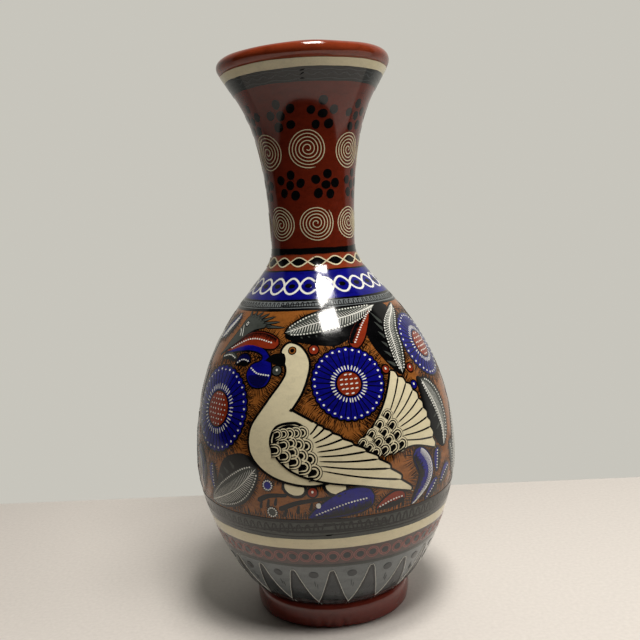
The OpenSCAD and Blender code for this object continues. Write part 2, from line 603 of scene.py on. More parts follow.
def fired_clay(name, colour):
    """Low-fired red earthenware, smeared by hand and left unglazed. It is matt and dusty, with coarse grit
    and paler patches where the clay dried first."""
    material = bpy.data.materials.new(name)
    material.use_nodes = True
    tree = material.node_tree
    surface = tree.nodes["Principled BSDF"]
    coordinates = add_node(tree, "ShaderNodeTexCoord")
    patches = add_node(tree, "ShaderNodeTexNoise", {"Vector": coordinates.outputs["Object"],
                                                    "Scale": per_metre(22), "Detail": 5.0})
    grit = add_node(tree, "ShaderNodeTexVoronoi", {"Vector": coordinates.outputs["Object"],
                                                   "Scale": per_metre(1.6)})
    ramp = add_node(tree, "ShaderNodeValToRGB", {"Fac": patches.outputs["Fac"]})
    ramp.color_ramp.elements[0].position = 0.35
    ramp.color_ramp.elements[0].color = toned(colour, 0.75)
    ramp.color_ramp.elements[1].position = 0.65
    ramp.color_ramp.elements[1].color = toned(colour, 1.2)
    tree.links.new(ramp.outputs["Color"], surface.inputs["Base Color"])
    bump = add_node(tree, "ShaderNodeBump", {"Height": grit.outputs["Distance"], "Strength": 0.4,
                                             "Distance": 0.3 * MM})
    tree.links.new(bump.outputs["Normal"], surface.inputs["Normal"])
    surface.inputs["Roughness"].default_value = 0.85
    return material


def slip_material(colour):
    """The glazed slip of a named colour, made once."""
    name = f"glazed_{colour}_slip"
    if name in bpy.data.materials:
        return bpy.data.materials[name]
    value = tuple(getattr(bpy.context.scene.vase_colours, colour))
    mottle = {"black": 0.3, "cream": 0.07, "blue": 0.3, "ochre": 0.22, "mist": 0.1}.get(colour, 0.16)
    return glazed_slip(name, value, mottle)


def clay_material():
    name = "fired_red_clay"
    return bpy.data.materials.get(name) or fired_clay(name, tuple(bpy.context.scene.vase_colours.clay))


# ------------------------------------------------------------------ clay walls

def wall_shell(name, low, high, node, colour, slot):
    """One closed section of wall between two heights above the table, smooth over its seams."""
    sizes = bpy.context.scene.vase_sizes
    around = int(2 * math.pi * BELLY_R / (sizes.side_step / MM))
    angles = np.linspace(0, 360, around, endpoint=False)
    rows = int((high - low) / 1.6)
    heights = np.linspace(high, low, rows) - BASELINE
    a, h = np.meshgrid(angles, heights, indexing="ij")
    outer = on_wall(a, h)
    inner = on_wall(a, h, -sizes.wall / MM)
    outside = wall_normal(a, h)
    mesh = Mesh()
    mesh.add(outer, grid_faces(around, rows, wrap=True), outside)
    mesh.add(inner[:, ::-1], grid_faces(around, rows, wrap=True), -outside[:, ::-1])
    top = np.stack([inner[:, 0], outer[:, 0]], 1)
    bottom = np.stack([outer[:, -1], inner[:, -1]], 1)
    for ring in (top, bottom):
        mesh.add(ring, grid_faces(around, 2, wrap=True))
    piece = mesh.make(name, slip_material(colour), slot)
    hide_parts(node)
    return piece


class VASE_OT_walls(bpy.types.Operator):
    """Makes the three walls: the lower bowl, the shoulder and the neck"""
    bl_idname = "vase.walls"
    bl_label = "Walls"

    def execute(self, context):
        sizes = context.scene.vase_sizes
        OUTLINE.shape(sizes.neck_radius / MM, sizes.uneven / MM)
        wall_shell("bowl_wall", FOOT_H, BELLY_Z, "lower_bowl", "bowl", "bowl_glaze")
        wall_shell("shoulder_wall", BELLY_Z, NECK_Z, "shoulder_dome", "terracotta", "shoulder_glaze")
        wall_shell("neck_wall", NECK_Z, MOUTH_Z, "neck_tube", "neck", "neck_glaze")
        return {"FINISHED"}


def swept_ring(name, section, material, slot, node, around=320):
    """A ring whose section may change on the way round. section(angle) gives (radius, height) points."""
    rows = []
    for a in np.linspace(0, 2 * math.pi, around, endpoint=False):
        profile = np.array(section(a))
        rows.append(np.stack([profile[:, 0] * math.sin(a), -profile[:, 0] * math.cos(a), profile[:, 1]], 1))
    columns = len(rows[0])
    i = np.arange(around)[:, None] * columns
    j = np.arange(columns)[None, :]
    ahead = (i + columns) % (around * columns)
    beside = (j + 1) % columns
    faces = np.stack([i + j, i + beside, ahead + beside, ahead + j], -1).reshape(-1, 4)
    mesh = Mesh()
    mesh.add(np.stack(rows) * MM, faces)
    piece = mesh.make(name, material, slot)
    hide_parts(node)
    return piece


class VASE_OT_lip(bpy.types.Operator):
    """Makes the rolled lip, a little uneven as a hand leaves it"""
    bl_idname = "vase.lip"
    bl_label = "Lip"

    def execute(self, context):
        roll = (LIP_Z - MOUTH_Z - 1) / 2
        wall = context.scene.vase_sizes.wall / MM
        slope = float(OUTLINE.slope(MOUTH_Z - 0.01))
        lean = math.hypot(1, slope)

        def section(a):
            edge = float(OUTLINE.radius(MOUTH_Z)) + float(stray(a, MOUTH_Z))
            wave = 0.5 * math.sin(2 * a + 1.0) + 0.35 * math.sin(5 * a + 2.0) + 0.15 * math.sin(11 * a)
            r, z = edge + LIP_R - MOUTH_R - roll, LIP_Z - roll - 0.5 + 0.45 * wave
            fat = roll * (1 + 0.03 * math.sin(3 * a) + 0.02 * math.sin(7 * a + 1))
            points = [(edge, MOUTH_Z - 0.3)]
            for degrees in range(-24, 205, 6):
                turn = math.radians(degrees)
                points.append((r + fat * math.cos(turn), z + fat * math.sin(turn)))
            points.append((edge - wall / lean, MOUTH_Z + wall * slope / lean - 0.3))
            return points[::-1]

        swept_ring("rolled_lip", section, slip_material("terracotta"), "lip_glaze", "lip_coil")
        return {"FINISHED"}


# Chips in the foot's lower edge: the angle of each and its depth in millimetres.
CHIPS = ((-17, 0.6), (-9, 1.3), (-2, 0.8), (6, 1.4), (13, 0.7), (128, 0.9), (236, 1.1))


class VASE_OT_foot(bpy.types.Operator):
    """Makes the foot ring, with its lumps and the soft edge that it was cut with"""
    bl_idname = "vase.foot"
    bl_label = "Foot"

    def execute(self, context):
        inner = box_mm("floor_disc")[1].x
        corner = 3.5

        def section(a):
            lump = 0.5 * math.sin(3 * a + 0.5) + 0.35 * math.sin(7 * a + 2) + 0.2 * math.sin(17 * a)
            swell = 0.35 * lump
            chip = 0.0
            for degrees, depth in CHIPS:
                away = (math.degrees(a) - degrees + 180) % 360 - 180
                chip += depth * math.exp(-(away / 2.2) ** 2)
            top = FOOT_H - 0.2 + 0.25 * math.sin(5 * a + 1)
            r = FOOT_R - 0.6 + swell
            points = [(inner, 0), (inner + 1.5, 0)]
            for degrees in range(-85, 5, 10):
                turn = math.radians(degrees)
                points.append((r - corner - 0.3 + corner * math.cos(turn) - chip,
                               corner + corner * math.sin(turn)))
            points += [(r + 0.35 - 0.4 * chip, 7), (r + 0.5, 10), (r + 0.3, 13),
                       (r - 0.1, top - 1.6), (r - 0.8, top - 0.5), (r - 1.9, top), (inner, top)]
            return points[::-1]

        swept_ring("foot", section, slip_material("foot"), "foot_clay", "foot_ring")
        return {"FINISHED"}


class VASE_OT_inside(bpy.types.Operator):
    """Gives the bare clay of the floor and of the smeared seams inside its finish"""
    bl_idname = "vase.inside"
    bl_label = "Inside clay"

    def execute(self, context):
        for node in ("floor_disc", "belly_seam_coil", "neck_seam_coil"):
            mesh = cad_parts[node]
            for slot in mesh.material_slots:
                slot.link = "OBJECT"
                slot.material = clay_material()
        return {"FINISHED"}


# ------------------------------------------------------------------ painted bands

# Each plain band: its colour, its lower and upper edge, its layer, how far its edges waver and where the
# waver starts.
BANDS = (
    ("cream", 379.4, 384.3, LINE, 0.25, 0.4),
    ("soot", 370.8, 379.6, FILL, 0.3, 1.9),
    ("black", 257.6, 261.9, FILL, 0.45, 2.2),
    ("black", 245.7, 246.9, EDGE, 0.25, 0.9),
    ("blue", 227.8, 245.9, FILL, 0.3, 0.9),
    ("black", 226.9, 228.1, LINE, 0.15, 3.0),
    ("bowl", 222.3, 227.2, FILL, 0.1, 3.0),
    ("black", 221.2, 222.5, LINE, 0.2, 1.0),
    ("ochre", 88.6, 221.6, GROUND, 0.2, 0.6),
    ("black", 88.0, 90.4, LINE, 0.5, 2.6),
    ("grey", 75.4, 89.0, FILL, 0.3, 0.3),
    ("cream", 68.2, 75.8, LINE, 0.35, 1.6),
    ("rose", 55.6, 68.6, FILL, 0.3, 0.8),
    ("grey", 53.4, 55.4, FILL, 0.25, 2.0),
    ("ash", 55.1, 55.9, LINE, 0.25, 2.0),
)


class VASE_OT_bands(bpy.types.Operator):
    """Paints the plain bands that run all the way round the vase"""
    bl_idname = "vase.bands"
    bl_label = "Bands"

    def execute(self, context):
        hand = Painter("band", 2)
        for band in BANDS:
            hand.band(*band)
        hand.make()
        return {"FINISHED"}


def round_the_pot(count, start=0.0):
    """Evenly spaced angles all the way round."""
    return [start + i * 360 / count for i in range(count)]


class VASE_OT_neck_painting(bpy.types.Operator):
    """Paints the neck: dark waves under the lip, flowers of black dots and cream spirals"""
    bl_idname = "vase.neck_painting"
    bl_label = "Neck painting"

    def spiral(self, hand, centre, size, turns=5.2):
        """One cream spiral, drawn from its middle outwards."""
        steps = int(turns * 26)
        t = np.linspace(0, 1, steps)
        start = hand.vary(0, 360)
        turn = np.radians(start + t * turns * 360)
        reach = size * (0.06 + 0.94 * t ** 0.92) * (1 + 0.015 * np.sin(3 * turn + start))
        x, y = reach * np.cos(turn), reach * np.sin(turn)
        heights = centre[1] + y / float(mm_per_height(centre[1]))
        hand.stroke("cream", np.stack([centre[0] + x / mm_per_degree(heights), heights], 1), 0.6, EDGE)

    def dots(self, hand, centre, size):
        """A loose flower of five black dots round a sixth."""
        a, h = centre
        k = float(mm_per_degree(h))
        lean = hand.vary(-12, 12)
        for number in range(6):
            turn = math.radians(number * 72 + 90 + lean)
            reach = size * hand.vary(0.92, 1.08) if number else 0
            spot = (a + reach * math.cos(turn) / k, h + reach * math.sin(turn))
            hand.dot("black", spot, hand.vary(3.0, 3.6), hand.vary(2.8, 3.4), HATCH, tilt=hand.vary(0, 90),
                     sides=18, crown=0.1)

    def execute(self, context):
        hand = Painter("neck", 3)
        for count, start, height, size in ((7, 0.5, 329, 13.6), (7, 5, 278, 12.3)):
            for angle in round_the_pot(count, start):
                spot = (angle + hand.vary(-1, 1), height + hand.vary(-0.8, 0.8))
                self.spiral(hand, spot, size * hand.vary(0.96, 1.03))
        for count, start, height, size in ((9, -24, 350.5, 8.2), (8, -25, 305, 7.6)):
            for angle in round_the_pot(count, start):
                self.dots(hand, (angle, height + hand.vary(-0.6, 0.6)), size)
        turns = np.arange(0, 360, 1.5)
        for height, size, count, phase in ((377.6, 0.35, 24, 0), (375.2, 0.8, 36, 1), (372.4, 0.4, 18, 2)):
            wave = height + size * np.sin(np.radians(turns * count) + phase)
            hand.stroke("ash", np.stack([turns, wave], 1), 0.8, LINE, closed=True)
        hand.make()
        return {"FINISHED"}


class VASE_OT_collar_painting(bpy.types.Operator):
    """Paints the collar: linked diamonds on terracotta, a pale chain on blue and a dark key line on grey"""
    bl_idname = "vase.collar_painting"
    bl_label = "Collar painting"

    def links(self, hand, middle, size, count, width, start, pointed, colour):
        """Two lines that cross and part again round the pot, so that they draw linked ovals or diamonds."""
        turns = np.arange(0, 360, 0.5)
        phase = (turns - start) / 360 * count * math.pi
        wave = np.sin(phase)
        lobe = np.floor((turns - start) / 360 * count).astype(int)
        sizes = np.array([size * hand.vary(0.88, 1.1) for _ in range(count)])[lobe % count]
        form = np.sign(wave) * np.abs(wave) ** (1.15 if pointed else 0.68)
        for sign in (1, -1):
            path = np.stack([turns, middle + sign * sizes * form], 1)
            hand.stroke(colour, path, width, DOT, closed=True)
        return sizes

    def execute(self, context):
        hand = Painter("collar", 4)
        diamonds, diamond_z, first, gap = 16, 252.5, -53, 1.2
        sizes = self.links(hand, diamond_z, 3.3, diamonds, 0.85, first, True, "cream")
        for number, start in enumerate(round_the_pot(diamonds, first)):
            t = np.linspace(0, 1, 14)
            rise = 0.8 * sizes[number] * np.sin(t * math.pi) ** 1.15
            angles = start + gap + t * (360 / diamonds - 2 * gap)
            below = np.stack([angles, diamond_z - rise], 1)
            above = np.stack([angles[::-1][1:-1], diamond_z + rise[::-1][1:-1]], 1)
            hand.fill("black", np.concatenate([below, above]), FILL)
        ovals, oval_z, first = 24, 236.6, -14.0
        self.links(hand, oval_z, 4.6, ovals, 1.6, first, False, "mist")
        for start in round_the_pot(ovals, first):
            hand.dot("black", (start + 180 / ovals, oval_z), 2.6, 1.9, LINE, crown=0.3)
        keys = 96
        pitch = 360 / keys
        line = []
        for number in range(keys):
            a = number * pitch
            line += [(a, 223.6), (a + 0.12 * pitch, 226), (a + 0.42 * pitch, 226.1),
                     (a + 0.5 * pitch, 224.6), (a + 0.62 * pitch, 223.5), (a + 0.92 * pitch, 223.4)]
        hand.stroke("soot", smooth(line, closed=True, step=0.6), 0.8, LINE, closed=True)
        hand.make()
        return {"FINISHED"}


# The painted rays of the lower bowl stand on this height.
RAY_FOOT = 15.8


class VASE_OT_lower_painting(bpy.types.Operator):
    """Paints the lower bowl: a dark squiggle, a chain of rings, and tall rays with ovals between them"""
    bl_idname = "vase.lower_painting"
    bl_label = "Lower painting"

    def execute(self, context):
        hand = Painter("lower", 5)
        count = 102
        pitch = 360 / count
        loops = []
        for number in range(count):
            a = number * pitch
            tall = hand.vary(2.3, 3.0)
            loops += [(a, 83.6 - tall), (a + 0.22 * pitch, 84.6 + 0.5 * tall),
                      (a + 0.5 * pitch, 83.9 + tall), (a + 0.72 * pitch, 83 - 0.4 * tall)]
        hand.stroke("black", smooth(loops, closed=True, step=0.7), 1.15, LINE, closed=True)
        turns = np.arange(0, 360, 1.5)
        line = np.stack([turns, 78.6 + 0.5 * np.sin(np.radians(7 * turns))], 1)
        hand.stroke("black", line, 0.9, LINE, closed=True)
        for angle in round_the_pot(59, 0.5):
            centre = (angle + hand.vary(-0.3, 0.3), 62.0 + hand.vary(-0.3, 0.3))
            hand.disc("ash", centre, 2.3, 2.2, LINE)
            hand.stroke("rust", hand.round_path(centre, 4.1, 4.3), 0.6, DOT, closed=True)
            hand.stroke("rust", hand.round_path(centre, 3.0, 3.1), 0.5, DOT, closed=True)
        for number, angle in enumerate(round_the_pot(19, 0)):
            apex = (angle + hand.vary(-0.8, 0.8), 50.3 + hand.vary(-1.8, 1.2))
            left = [(apex[0] - 10.5, RAY_FOOT), (apex[0] - 6.0, 27),
                    (apex[0] - 2.6, 40), (apex[0] - 0.5, 50)]
            right = [(apex[0] + 0.5, 50), (apex[0] + 2.4, 40),
                     (apex[0] + 5.4, 27), (apex[0] + 9.5, RAY_FOOT)]
            body = smooth(left[:-1] + [apex] + right[1:], step=1.2)
            hand.fill("ash", np.concatenate([body, [(apex[0], RAY_FOOT)]]), EDGE)
            hand.stroke("soot", body, 1.5, LINE)
            hand.stroke("mist", body + left_of(body) * 1.0, 0.24, LINE)
            # Dark strokes rise from the foot of each ray, tallest near its middle: painted shade that darkens
            # the lower part of the ray.
            for _ in range(14):
                foot = (apex[0] + hand.vary(-9.5, 8.8), RAY_FOOT)
                tall = (12 - abs(foot[0] - apex[0])) * hand.vary(0.7, 1.4)
                hand.stroke("soot", [foot, (foot[0], RAY_FOOT + tall / 2), (foot[0], RAY_FOOT + tall)],
                            taper(1.3, 0.8), FILL, blunt=True)
            hand.disc("ash", (angle + 9.4, 46.6), 3.3, 2.9, EDGE)
            hand.stroke("ash", [(angle + 9.2, 41), (angle + 9.3, 35.5)], 0.5, EDGE)
            hand.stroke("ash", [(angle + 10.4, 38.5), (angle + 10.3, 34)], 0.45, EDGE)
        hand.make()
        return {"FINISHED"}


# ------------------------------------------------------------------ the painted scene

def evenly(points, count, ease=1.0):
    """Points spaced along the smooth curve through some handles. ease over 1 crowds them at its start."""
    path = smooth(points, step=0.5)
    at = np.linspace(0, 1, count) ** ease * (len(path) - 1)
    return np.stack([np.interp(at, np.arange(len(path)), path[:, i]) for i in (0, 1)], 1)


def between(start, end, share):
    """The point a share of the way from one point, or row of points, to another."""
    return np.asarray(start, float) * (1 - share) + np.asarray(end, float) * share


class VASE_OT_doves(bpy.types.Operator):
    """Paints a cream dove on each side, with a scaled wing and a fanned tail"""
    bl_idname = "vase.doves"
    bl_label = "Doves"

    def scales(self, hand, spots, level):
        """Long round-ended scales of nested loops, each given by its angle, height, radius and lean. The last
        lies on top."""
        turn = np.radians(np.linspace(-90, 90, 13))
        for number, (a, h, size, lean) in enumerate(spots):
            k = float(mm_per_degree(h))
            lean = math.radians(lean)

            def loop(share):
                along = size * np.concatenate([[-0.7], share * np.cos(turn), [-0.7]])
                aside = size * share * np.concatenate([[-1], np.sin(turn), [1]])
                x = along * math.cos(lean) - aside * math.sin(lean)
                y = along * math.sin(lean) + aside * math.cos(lean)
                return np.stack([a + x / k, h + y], 1)

            layer = level + 0.12 * number
            hand.fill("black", loop(1.0), layer)
            for share in (0.82, 0.45):
                hand.stroke("cream", loop(share), 0.2 * size, layer + 0.1, crown=0.2)

    def scale_columns(self, hand, near, far, counts, size, lean, level):
        """Columns of scales. near and far are the lowest and highest scale of the first and of the last
        column, and the scales lean and shrink more towards the top of a column."""
        spots = []
        for column, count in enumerate(counts):
            across = column / (len(counts) - 1)
            low, high = between(near[0], far[0], across), between(near[1], far[1], across)
            for up in np.linspace(0, 1, count):
                a, h = between(low, high, up)
                shrink = (1 - 0.05 * column) * (1 - 0.18 * up)
                spots.append((a, h, size * shrink, between(lean[0], lean[1], up)))
        self.scales(hand, spots, level)

    def fan(self, hand, roots, tips, rest, count, ease, level, line=1.2):
        """Feathers side by side with rounded ends, from a curve of roots to a curve of tips. rest closes the
        shape behind them."""
        inner, outer = evenly(roots, count + 1), evenly(tips, count + 1, ease)
        ends = []
        for i in range(count):
            long = between(outer[i], outer[i + 1], 0.5) - between(inner[i], inner[i + 1], 0.5)
            bulge = between(outer[i], outer[i + 1], 0.55) + 0.07 * long
            ends += [outer[i], outer[i], bulge]
        ends += [outer[-1], outer[-1]]
        hand.fill("cream", smooth(list(ends) + list(rest), closed=True), level)
        hand.stroke("black", smooth(ends), 1.5, level + 0.6)
        for i in range(1, count):
            middle = between(inner[i], outer[i], 0.5) + (0, -0.4)
            hand.stroke("black", evenly([inner[i], middle, outer[i]], 12), press(line), level + 0.6)

    def body(self, hand):
        head = [(-18, 190), (-18, 190), (-20, 197), (-16, 202), (-9, 199), (-5, 189)]
        back = [(-8, 173), (-13, 161), (-13, 161), (-4, 153), (8, 138), (8, 121)]
        breast = [(-5, 113), (-21, 118), (-31, 131), (-32, 148), (-25, 165), (-17, 182)]
        body = smooth(head + back + breast, closed=True)
        hand.hatch(body, 5.5, 0.8)
        hand.fill("cream", body, FILL)
        hand.stroke("black", body, 1.7, LINE, closed=True)
        beak = smooth([(-18, 195), (-24, 195), (-28, 191), (-28, 191), (-18, 188)], closed=True)
        hand.fill("black", beak, LINE)
        eye = (-14, 197)
        hand.disc("black", eye, 2.9, 2.9, LINE)
        hand.disc("ochre", eye, 2.2, 2.2, LINE + 0.3)
        hand.dot("black", eye, 1.5, 1.5, DOT)

    def wing(self, hand):
        under = [(15, 110), (-3, 116), (-15, 124), (-22, 138), (-20, 150), (-12, 153)]
        tips = [(-4, 153), (6, 143), (22, 125), (35, 101)]
        self.fan(hand, [(-7, 148), (-4, 140), (-2, 120)], tips, under, 10, 1.5, OVER)
        hand.sketch("black", 1.5, OVER + 0.6, [[(35, 101)] + under + [(-7, 149)]])
        crown = smooth([(-21, 139), (-20, 148), (-14, 152), (-8, 149), (-12, 145), (-17, 144)], closed=True)
        hand.fill("black", crown, OVER + 0.4)
        self.scale_columns(hand, ((-5, 122), (-9, 147)), ((-20, 136), (-19, 146)), (4, 4, 4, 3, 2), 5.6,
                           (4, 24), OVER + 0.8)

    def tail(self, hand):
        back = [(38, 130), (26, 128), (14, 132), (13, 138), (20, 148), (27, 163)]
        edge = [(33, 180), (43, 166), (49, 145), (51, 124)]
        hand.hatch(smooth(edge + back, closed=True), 6.5, 0.7)
        self.fan(hand, [(27, 157), (31, 148), (34, 132)], edge, back, 9, 1.0, FILL, 1.1)
        hand.sketch("black", 1.4, LINE, [edge[-1:] + back + edge[:1]])
        self.scale_columns(hand, ((32, 133), (27, 153)), ((20, 131), (15, 138)), (4, 4, 3, 3), 4.8,
                           (28, 50), LINE)

    def legs(self, hand):
        """Cream thighs, and dark feet that reach forward with three claws each."""
        for thigh, ankle, toe in (((-13, 112), (-16, 107), (-29, 102)), ((3, 112), (1, 105), (-20, 97))):
            leg = hand.round_path(thigh, 7.5, 5.5, tilt=-20)
            hand.stroke("black", leg, 2.4, EDGE, closed=True)
            hand.fill("cream", leg, EDGE + 0.4)
            hand.sketch("black", 3.0, EDGE, [[ankle, between(ankle, toe, 0.6) + (0, 2), toe]])
            for share in (0.35, 0.6, 0.85):
                claw = between(ankle, toe, share)
                hand.sketch("black", 2.0, EDGE, [[claw, claw + (-0.5, -3), claw + (-1, -6)]])

    def execute(self, context):
        hand = Painter("dove", 6)
        for turn in FACES:
            hand.turn = turn
            self.tail(hand)
            self.legs(hand)
            self.body(hand)
            self.wing(hand)
        hand.make()
        return {"FINISHED"}


class VASE_OT_flowers(bpy.types.Operator):
    """Paints the blue daisies, with dark lines between their petals and a dotted red-brown middle"""
    bl_idname = "vase.flowers"
    bl_label = "Daisies"

    def daisy(self, hand, centre, size, petals, heart, dashes=True):
        """A daisy of a given radius in millimetres, its middle being heart times as wide."""
        outline = hand.round_path(centre, size, ripple=0.04, lobes=petals)
        hand.hatch(outline, 8.0, 0.75, width=0.55)
        hand.stroke("black", outline, 2.2, EDGE, closed=True)
        hand.fill("blue", outline, FILL, grain=4.0)
        m = float(mm_per_height(centre[1]))

        def at(reach, degrees):
            turn = math.radians(degrees)
            height = centre[1] + size * reach * math.sin(turn) / m
            return centre[0] + size * reach * math.cos(turn) / float(mm_per_degree(height)), height

        for number in range(petals):
            line = (number + hand.vary(-0.1, 0.1)) * 360 / petals
            hand.stroke("black", [at(heart + 0.1, line), at(0.7, line), at(0.97, line)],
                        lambda t: 0.8 - 0.15 * t, LINE)
            petal = (number + 0.5) * 360 / petals
            spot = at(hand.vary(0.9, 0.93), petal)
            hand.dot("mist", spot, hand.vary(0.62, 0.85), hand.vary(0.6, 0.8), DOT, sides=10)
        hand.disc("black", centre, size * (heart + 0.04), None, LINE)
        rays = int(petals * 1.1)
        for number in range(rays):
            turn = number * 360 / rays + hand.vary(-1, 1)
            ray = [at(heart + 0.06, turn), at(heart + 0.19, turn + hand.vary(-1.5, 1.5))]
            hand.stroke("mist", ray, 0.8, DOT)
        hand.disc("red", centre, size * heart, None, LINE + 0.5)
        rows = max(3, int(size * heart / 1.5))
        for row in range(rows):
            y = (row + 0.5) / rows * 2 - 1
            wide = math.sqrt(max(0.0, 1 - y * y)) - 0.12
            count = max(1, int(round(2 * wide * size * heart / 3.4)))
            for number in range(count):
                x = ((number + 0.5) / count * 2 - 1) * wide + hand.vary(-0.04, 0.04)
                height = centre[1] + y * size * heart / m
                a = centre[0] + x * size * heart / float(mm_per_degree(height))
                if dashes:
                    half = 1.05 / float(mm_per_degree(height))
                    dash = [(a - half, height - 0.2), (a, height), (a + half, height + 0.2)]
                    hand.stroke("mist", dash, 0.95, DOT + 0.5)
                else:
                    hand.dot("mist", (a, height), 0.6, 0.6, DOT + 0.5, sides=8)

    def small_daisy(self, hand, centre, size, colour):
        """A little flower: a dab with a ring of pale dots."""
        hand.hatch(hand.round_path(centre, size), 2.5, 0.8)
        hand.disc("black", centre, size + 0.9, None, EDGE)
        hand.disc(colour, centre, size, None, FILL)
        m = float(mm_per_height(centre[1]))
        for number in range(13):
            turn = math.radians(number * 360 / 13)
            height = centre[1] + size * math.sin(turn) / m
            spot = (centre[0] + size * math.cos(turn) / float(mm_per_degree(height)), height)
            hand.dot("mist", spot, 0.6, 0.55, DOT, sides=8)

    def execute(self, context):
        hand = Painter("daisy", 7)
        for turn in FACES:
            hand.turn = turn
            self.daisy(hand, (12, 175), 24, 31, 0.32)
            self.daisy(hand, (-53, 158), 29, 34, 0.4, dashes=False)
            self.daisy(hand, (66, 191), 24.0, 32, 0.4)
            self.daisy(hand, (92, 122), 17.0, 26, 0.36, dashes=False)
            self.small_daisy(hand, (-24, 113), 3, "blue")
            self.small_daisy(hand, (-23, 95), 3, "grey")
        hand.make()
        return {"FINISHED"}


class VASE_OT_leaves(bpy.types.Operator):
    """Paints the leaves, drops and berries that fill the ground between the birds and the daisies"""
    bl_idname = "vase.leaves"
    bl_label = "Leaves"

    def drop(self, hand, spine, wide, colour, peak=0.32, dark=1, reach=5.0, trim="dots"):
        """A drop from its round end to its point, half of it in shade, with a row of pale dots or strokes.
        dark is +1 for the left half of the spine, -1 for the right."""
        path = evenly(spine, 34)
        t = np.linspace(0, 1, len(path))
        half = (wide / 2 * np.sin(math.pi * t ** (math.log(0.5) / math.log(peak))) ** 0.7)[:, None]
        side = left_of(path)
        left, right = path + side * half, path - side * half
        outline = np.concatenate([left, right[::-1][1:-1]])
        hand.hatch(outline, reach, 0.8, width=0.55)
        hand.stroke("black", outline, 2.2, EDGE, closed=True)
        hand.fill(colour, outline, FILL)
        shaded = left if dark > 0 else right
        for i in range(2, len(path) - 2):
            for step in (0, 0.5):
                edge = between(shaded[i], shaded[i + 1], step)
                spot = between(path[i], path[i + 1], step)
                inner = between(edge, spot, hand.vary(0.6, 0.95))
                hand.stroke("black", [edge, between(edge, inner, 0.5), inner], taper(0.85, 0.65),
                            LINE + 0.2, crown=0.2)
        if trim == "dots":
            for spot in resample(path[4:-4], 2.0):
                hand.dot("mist", spot, 0.7, 0.55, DOT, sides=8)
            return
        lit = right if dark > 0 else left
        hand.stroke("mist", between(lit, path, 0.14)[2:], lambda t: 0.55 + 0.4 * t, DOT)
        for i in range(2, len(path) - 6):
            start = between(lit[i], path[i], 0.14)
            end = between(lit[i + 2], path[i + 2], 0.75)
            hand.stroke("mist", [start, between(start, end, 0.5), end], taper(0.75, 0.7), DOT,
                        crown=0.3)

    def fern(self, hand, rib, left_wide, right_wide, bright=1, count=38):
        """A grey leaf with pale veins from its rib and dots along its edges. Its rib runs from base to tip,
        and left_wide and right_wide are in millimetres. bright is the side with the stronger veins."""
        rib = evenly(rib, count)
        t = np.linspace(0, 1, count)
        swell = (np.sin(math.pi * t ** 0.8) ** 0.75)[:, None]
        side = left_of(rib)
        left, right = rib + side * swell * left_wide, rib - side * swell * right_wide
        outline = np.concatenate([left, right[::-1][1:-1]])
        hand.hatch(outline, 4.5, 0.8, width=0.6)
        hand.stroke("black", outline, 3.0, EDGE, closed=True)
        hand.fill("grey", outline, FILL)
        for sign, edge in ((1, left), (-1, right)):
            strong = sign == bright
            for i in range(3, count - 1):
                end = between(rib[i], edge[i - 2], 0.74 if strong else 0.6)
                hand.stroke("mist", [rib[i], between(rib[i], end, 0.5), end],
                            taper(0.52, 0.4) if strong else taper(0.36, 0.5),
                            LINE, crown=0.3)
            for spot in resample(between(edge, rib, 0.12)[2:-3], 2.1):
                hand.dot("mist", spot, 0.62, 0.56, DOT, sides=8)
        hand.stroke("mist", rib, lambda t: 0.45 + 0.5 * t, DOT)

    def shade(self, hand, mass, roots, tips, count):
        """A black mass behind a leaf, with grey fingers of the leaf reaching into it. roots and tips are
        those of the first and the last finger."""
        hand.fill("black", smooth(mass, closed=True), EDGE - 0.4)
        for share in np.linspace(0, 1, count):
            root, tip = between(roots[0], roots[1], share), between(tips[0], tips[1], share)
            hand.stroke("grey", [root, between(root, tip, 0.5), tip], taper(3.4, 0.85), EDGE,
                        crown=0.2)

    def berry(self, hand, centre, size, colour="red"):
        hand.disc("black", centre, size + 1.0, None, EDGE)
        hand.disc(colour, centre, size, None, FILL)
        hand.dot("mist", (centre[0], centre[1] + 0.4), 0.75, 0.9, DOT)

    def crest(self, hand):
        """The grey crested head that looks out from the leaves at the upper left."""
        head = smooth([(-63, 193), (-63, 193), (-55, 208), (-51, 217), (-43, 218), (-33, 212), (-42, 209),
                       (-52, 201)], closed=True)
        hand.stroke("black", head, 1.8, EDGE, closed=True)
        roots = evenly([(-49, 217), (-41, 216), (-34, 212)], 7)
        tips = evenly([(-51, 221), (-40, 221), (-28, 218), (-20, 211)], 7)
        for root, tip in zip(roots, tips):
            hand.stroke("black", [root, between(root, tip, 0.5), tip], taper(3.8, 0.6), EDGE)
        hand.fill("grey", head, FILL)
        for root, tip in zip(roots, tips):
            hand.stroke("grey", [root, between(root, tip, 0.5), tip], taper(2.2, 0.7), FILL)
            hand.stroke("black", [root, between(root, tip, 0.35)], taper(0.7, 0.6), LINE)
        eye = (-49, 213)
        hand.disc("black", eye, 2.1, 2.4, LINE)
        hand.disc("mist", eye, 1.2, 1.5, LINE + 0.4)
        hand.dot("black", eye, 0.7, 0.9, DOT)
        for step in (0, 2):
            hand.sketch("mist", 0.6, LINE, [[(-54 + step, 210 + step), (-52 + step, 208), (-51 + step, 205)]])

